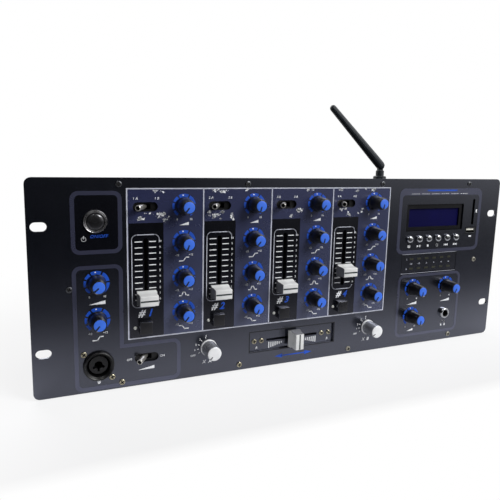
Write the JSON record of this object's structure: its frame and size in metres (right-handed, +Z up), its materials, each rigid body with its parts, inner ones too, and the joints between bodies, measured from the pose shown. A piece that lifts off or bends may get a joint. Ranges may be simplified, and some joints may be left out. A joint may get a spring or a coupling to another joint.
{
  "type": "rack mixer with media player",
  "caption": "Rack-mount DJ mixer with channel faders, crossfader, rotary controls, toggles, a card and stick player, front jacks and a folding antenna.",
  "frame": {"origin": "on the surface under the feet, at the middle of the width and of the depth", "axes": "+X to the right as seen from the front, +Y from the front panel to the back, +Z up"},
  "size_m": [0.4826, 0.125, 0.2501],
  "materials": {
    "panel_paint": "smooth semi-gloss black paint with printed lines and fields",
    "case_paint": "fine textured black powder coat",
    "circuit_board": "green solder mask",
    "module_plastic": "moulded black",
    "window_plastic": "polished dark window over a blue display",
    "jack_plastic": "moulded black",
    "polished_metal": "bright plated",
    "knob_plastic": "gloss black with a blue cap",
    "assign_plastic": "satin silver white",
    "fader_plastic": "off-white with a dark line",
    "key_plastic": "moulded dark grey",
    "antenna_plastic": "moulded slate grey"
  },
  "bodies": {
    "mixer": {"front_panel": "panel_paint", "chassis_tray": "case_paint", "top_cover": "case_paint", "control_board": "circuit_board", "crossfader_plate": "panel_paint", "power_switch": "polished_metal", "mic_jack": "jack_plastic", "phones_jack": "polished_metal", "player_module": "module_plastic", "display_window": "window_plastic", "rear_socket_block": "jack_plastic", "mains_inlet": "jack_plastic", "power_supply": "circuit_board", "antenna_base": "polished_metal"},
    "gain_knob_1": {"gain_knob_1": "knob_plastic"},
    "gain_knob_2": {"gain_knob_2": "knob_plastic"},
    "gain_knob_3": {"gain_knob_3": "knob_plastic"},
    "gain_knob_4": {"gain_knob_4": "knob_plastic"},
    "high_knob_1": {"high_knob_1": "knob_plastic"},
    "high_knob_2": {"high_knob_2": "knob_plastic"},
    "high_knob_3": {"high_knob_3": "knob_plastic"},
    "high_knob_4": {"high_knob_4": "knob_plastic"},
    "mid_knob_1": {"mid_knob_1": "knob_plastic"},
    "mid_knob_2": {"mid_knob_2": "knob_plastic"},
    "mid_knob_3": {"mid_knob_3": "knob_plastic"},
    "mid_knob_4": {"mid_knob_4": "knob_plastic"},
    "low_knob_1": {"low_knob_1": "knob_plastic"},
    "low_knob_2": {"low_knob_2": "knob_plastic"},
    "low_knob_3": {"low_knob_3": "knob_plastic"},
    "low_knob_4": {"low_knob_4": "knob_plastic"},
    "mic_level_knob": {"mic_level_knob": "knob_plastic"},
    "mic_tone_knob": {"mic_tone_knob": "knob_plastic"},
    "master_knob": {"master_knob": "knob_plastic"},
    "phones_level_knob": {"phones_level_knob": "knob_plastic"},
    "booth_knob": {"booth_knob": "knob_plastic"},
    "assign_knob_a": {"assign_knob_a": "assign_plastic"},
    "assign_knob_b": {"assign_knob_b": "assign_plastic"},
    "channel_fader_1": {"channel_fader_1": "fader_plastic"},
    "channel_fader_2": {"channel_fader_2": "fader_plastic"},
    "channel_fader_3": {"channel_fader_3": "fader_plastic"},
    "channel_fader_4": {"channel_fader_4": "fader_plastic"},
    "crossfader": {"crossfader": "fader_plastic"},
    "input_toggle_1": {"input_toggle_1": "polished_metal"},
    "input_toggle_2": {"input_toggle_2": "polished_metal"},
    "input_toggle_3": {"input_toggle_3": "polished_metal"},
    "input_toggle_4": {"input_toggle_4": "polished_metal"},
    "talkover_toggle": {"talkover_toggle": "polished_metal"},
    "power_button": {"power_button": "key_plastic"},
    "cue_button_1": {"cue_button_1": "key_plastic"},
    "cue_button_2": {"cue_button_2": "key_plastic"},
    "cue_button_3": {"cue_button_3": "key_plastic"},
    "cue_button_4": {"cue_button_4": "key_plastic"},
    "player_button_1": {"player_button_1": "polished_metal"},
    "player_button_2": {"player_button_2": "polished_metal"},
    "player_button_3": {"player_button_3": "polished_metal"},
    "player_button_4": {"player_button_4": "polished_metal"},
    "player_button_5": {"player_button_5": "polished_metal"},
    "player_button_6": {"player_button_6": "polished_metal"},
    "antenna_collar": {"antenna_collar": "antenna_plastic"},
    "antenna_rod": {"antenna_rod": "antenna_plastic"}
  },
  "joints": [
    {"name": "gain_knob_1_turn", "type": "hinge", "parent": "mixer", "child": "gain_knob_1", "pos_m": [-0.1189, -0.0445, 0.1546], "axis": [0, 1, 0], "range_deg": [0, 300]},
    {"name": "gain_knob_2_turn", "type": "hinge", "parent": "mixer", "child": "gain_knob_2", "pos_m": [-0.0546, -0.0445, 0.1546], "axis": [0, 1, 0], "range_deg": [0, 300]},
    {"name": "gain_knob_3_turn", "type": "hinge", "parent": "mixer", "child": "gain_knob_3", "pos_m": [0.0097, -0.0445, 0.1546], "axis": [0, 1, 0], "range_deg": [0, 300]},
    {"name": "gain_knob_4_turn", "type": "hinge", "parent": "mixer", "child": "gain_knob_4", "pos_m": [0.074, -0.0445, 0.1546], "axis": [0, 1, 0], "range_deg": [0, 300]},
    {"name": "high_knob_1_turn", "type": "hinge", "parent": "mixer", "child": "high_knob_1", "pos_m": [-0.1189, -0.0445, 0.124], "axis": [0, 1, 0], "range_deg": [0, 300]},
    {"name": "high_knob_2_turn", "type": "hinge", "parent": "mixer", "child": "high_knob_2", "pos_m": [-0.0546, -0.0445, 0.124], "axis": [0, 1, 0], "range_deg": [0, 300]},
    {"name": "high_knob_3_turn", "type": "hinge", "parent": "mixer", "child": "high_knob_3", "pos_m": [0.0097, -0.0445, 0.124], "axis": [0, 1, 0], "range_deg": [0, 300]},
    {"name": "high_knob_4_turn", "type": "hinge", "parent": "mixer", "child": "high_knob_4", "pos_m": [0.074, -0.0445, 0.124], "axis": [0, 1, 0], "range_deg": [0, 300]},
    {"name": "mid_knob_1_turn", "type": "hinge", "parent": "mixer", "child": "mid_knob_1", "pos_m": [-0.1189, -0.0445, 0.0934], "axis": [0, 1, 0], "range_deg": [0, 300]},
    {"name": "mid_knob_2_turn", "type": "hinge", "parent": "mixer", "child": "mid_knob_2", "pos_m": [-0.0546, -0.0445, 0.0934], "axis": [0, 1, 0], "range_deg": [0, 300]},
    {"name": "mid_knob_3_turn", "type": "hinge", "parent": "mixer", "child": "mid_knob_3", "pos_m": [0.0097, -0.0445, 0.0934], "axis": [0, 1, 0], "range_deg": [0, 300]},
    {"name": "mid_knob_4_turn", "type": "hinge", "parent": "mixer", "child": "mid_knob_4", "pos_m": [0.074, -0.0445, 0.0934], "axis": [0, 1, 0], "range_deg": [0, 300]},
    {"name": "low_knob_1_turn", "type": "hinge", "parent": "mixer", "child": "low_knob_1", "pos_m": [-0.1189, -0.0445, 0.0628], "axis": [0, 1, 0], "range_deg": [0, 300]},
    {"name": "low_knob_2_turn", "type": "hinge", "parent": "mixer", "child": "low_knob_2", "pos_m": [-0.0546, -0.0445, 0.0628], "axis": [0, 1, 0], "range_deg": [0, 300]},
    {"name": "low_knob_3_turn", "type": "hinge", "parent": "mixer", "child": "low_knob_3", "pos_m": [0.0097, -0.0445, 0.0628], "axis": [0, 1, 0], "range_deg": [0, 300]},
    {"name": "low_knob_4_turn", "type": "hinge", "parent": "mixer", "child": "low_knob_4", "pos_m": [0.074, -0.0445, 0.0628], "axis": [0, 1, 0], "range_deg": [0, 300]},
    {"name": "mic_level_knob_turn", "type": "hinge", "parent": "mixer", "child": "mic_level_knob", "pos_m": [-0.191, -0.0445, 0.0934], "axis": [0, 1, 0], "range_deg": [0, 300]},
    {"name": "mic_tone_knob_turn", "type": "hinge", "parent": "mixer", "child": "mic_tone_knob", "pos_m": [-0.191, -0.0445, 0.0628], "axis": [0, 1, 0], "range_deg": [0, 300]},
    {"name": "master_knob_turn", "type": "hinge", "parent": "mixer", "child": "master_knob", "pos_m": [0.1297, -0.0445, 0.0628], "axis": [0, 1, 0], "range_deg": [0, 300]},
    {"name": "phones_level_knob_turn", "type": "hinge", "parent": "mixer", "child": "phones_level_knob", "pos_m": [0.1748, -0.0445, 0.0628], "axis": [0, 1, 0], "range_deg": [0, 300]},
    {"name": "booth_knob_turn", "type": "hinge", "parent": "mixer", "child": "booth_knob", "pos_m": [0.1297, -0.0445, 0.0322], "axis": [0, 1, 0], "range_deg": [0, 300]},
    {"name": "assign_knob_a_turn", "type": "hinge", "parent": "mixer", "child": "assign_knob_a", "pos_m": [-0.0962, -0.0445, 0.0269], "axis": [0, 1, 0], "range_deg": [0, 120]},
    {"name": "assign_knob_b_turn", "type": "hinge", "parent": "mixer", "child": "assign_knob_b", "pos_m": [0.0744, -0.0445, 0.0269], "axis": [0, 1, 0], "range_deg": [0, 120]},
    {"name": "channel_fader_1_travel", "type": "slide", "parent": "mixer", "child": "channel_fader_1", "axis": [0, 0, 1], "range_m": [0, 0.045]},
    {"name": "channel_fader_2_travel", "type": "slide", "parent": "mixer", "child": "channel_fader_2", "axis": [0, 0, 1], "range_m": [0, 0.045]},
    {"name": "channel_fader_3_travel", "type": "slide", "parent": "mixer", "child": "channel_fader_3", "axis": [0, 0, 1], "range_m": [0, 0.045]},
    {"name": "channel_fader_4_travel", "type": "slide", "parent": "mixer", "child": "channel_fader_4", "axis": [0, 0, 1], "range_m": [-0.0106, 0.0344]},
    {"name": "crossfader_travel", "type": "slide", "parent": "mixer", "child": "crossfader", "axis": [1, 0, 0], "range_m": [-0.0225, 0.0225]},
    {"name": "input_toggle_1_turn", "type": "hinge", "parent": "mixer", "child": "input_toggle_1", "pos_m": [-0.1514, -0.0395, 0.1542], "axis": [0, 0, 1], "range_deg": [0, 59.4]},
    {"name": "input_toggle_2_turn", "type": "hinge", "parent": "mixer", "child": "input_toggle_2", "pos_m": [-0.0871, -0.0395, 0.1542], "axis": [0, 0, 1], "range_deg": [0, 59.4]},
    {"name": "input_toggle_3_turn", "type": "hinge", "parent": "mixer", "child": "input_toggle_3", "pos_m": [-0.0228, -0.0395, 0.1542], "axis": [0, 0, 1], "range_deg": [0, 59.4]},
    {"name": "input_toggle_4_turn", "type": "hinge", "parent": "mixer", "child": "input_toggle_4", "pos_m": [0.0415, -0.0395, 0.1542], "axis": [0, 0, 1], "range_deg": [0, 59.4]},
    {"name": "talkover_toggle_turn", "type": "hinge", "parent": "mixer", "child": "talkover_toggle", "pos_m": [-0.1514, -0.0395, 0.0252], "axis": [0, 0, 1], "range_deg": [0, 59.4]},
    {"name": "power_button_travel", "type": "slide", "parent": "mixer", "child": "power_button", "axis": [0, 1, 0], "range_m": [0, 0.0025], "stiffness_N_per_m": 300},
    {"name": "cue_button_1_travel", "type": "slide", "parent": "mixer", "child": "cue_button_1", "axis": [0, 1, 0], "range_m": [0, 0.0015], "stiffness_N_per_m": 300},
    {"name": "cue_button_2_travel", "type": "slide", "parent": "mixer", "child": "cue_button_2", "axis": [0, 1, 0], "range_m": [0, 0.0015], "stiffness_N_per_m": 300},
    {"name": "cue_button_3_travel", "type": "slide", "parent": "mixer", "child": "cue_button_3", "axis": [0, 1, 0], "range_m": [0, 0.0015], "stiffness_N_per_m": 300},
    {"name": "cue_button_4_travel", "type": "slide", "parent": "mixer", "child": "cue_button_4", "axis": [0, 1, 0], "range_m": [0, 0.0015], "stiffness_N_per_m": 300},
    {"name": "player_button_1_travel", "type": "slide", "parent": "mixer", "child": "player_button_1", "axis": [0, 1, 0], "range_m": [0, 0.0008], "stiffness_N_per_m": 300},
    {"name": "player_button_2_travel", "type": "slide", "parent": "mixer", "child": "player_button_2", "axis": [0, 1, 0], "range_m": [0, 0.0008], "stiffness_N_per_m": 300},
    {"name": "player_button_3_travel", "type": "slide", "parent": "mixer", "child": "player_button_3", "axis": [0, 1, 0], "range_m": [0, 0.0008], "stiffness_N_per_m": 300},
    {"name": "player_button_4_travel", "type": "slide", "parent": "mixer", "child": "player_button_4", "axis": [0, 1, 0], "range_m": [0, 0.0008], "stiffness_N_per_m": 300},
    {"name": "player_button_5_travel", "type": "slide", "parent": "mixer", "child": "player_button_5", "axis": [0, 1, 0], "range_m": [0, 0.0008], "stiffness_N_per_m": 300},
    {"name": "player_button_6_travel", "type": "slide", "parent": "mixer", "child": "player_button_6", "axis": [0, 1, 0], "range_m": [0, 0.0008], "stiffness_N_per_m": 300},
    {"name": "antenna_collar_turn", "type": "hinge", "parent": "mixer", "child": "antenna_collar", "pos_m": [0.112, 0.0005, 0.1789], "axis": [0, 0, 1], "range_deg": [-170, 170]},
    {"name": "antenna_rod_turn", "type": "hinge", "parent": "antenna_collar", "child": "antenna_rod", "pos_m": [0.112, 0.0005, 0.19], "axis": [0, 1, 0], "range_deg": [-42.2, 47.8]}
  ]
}
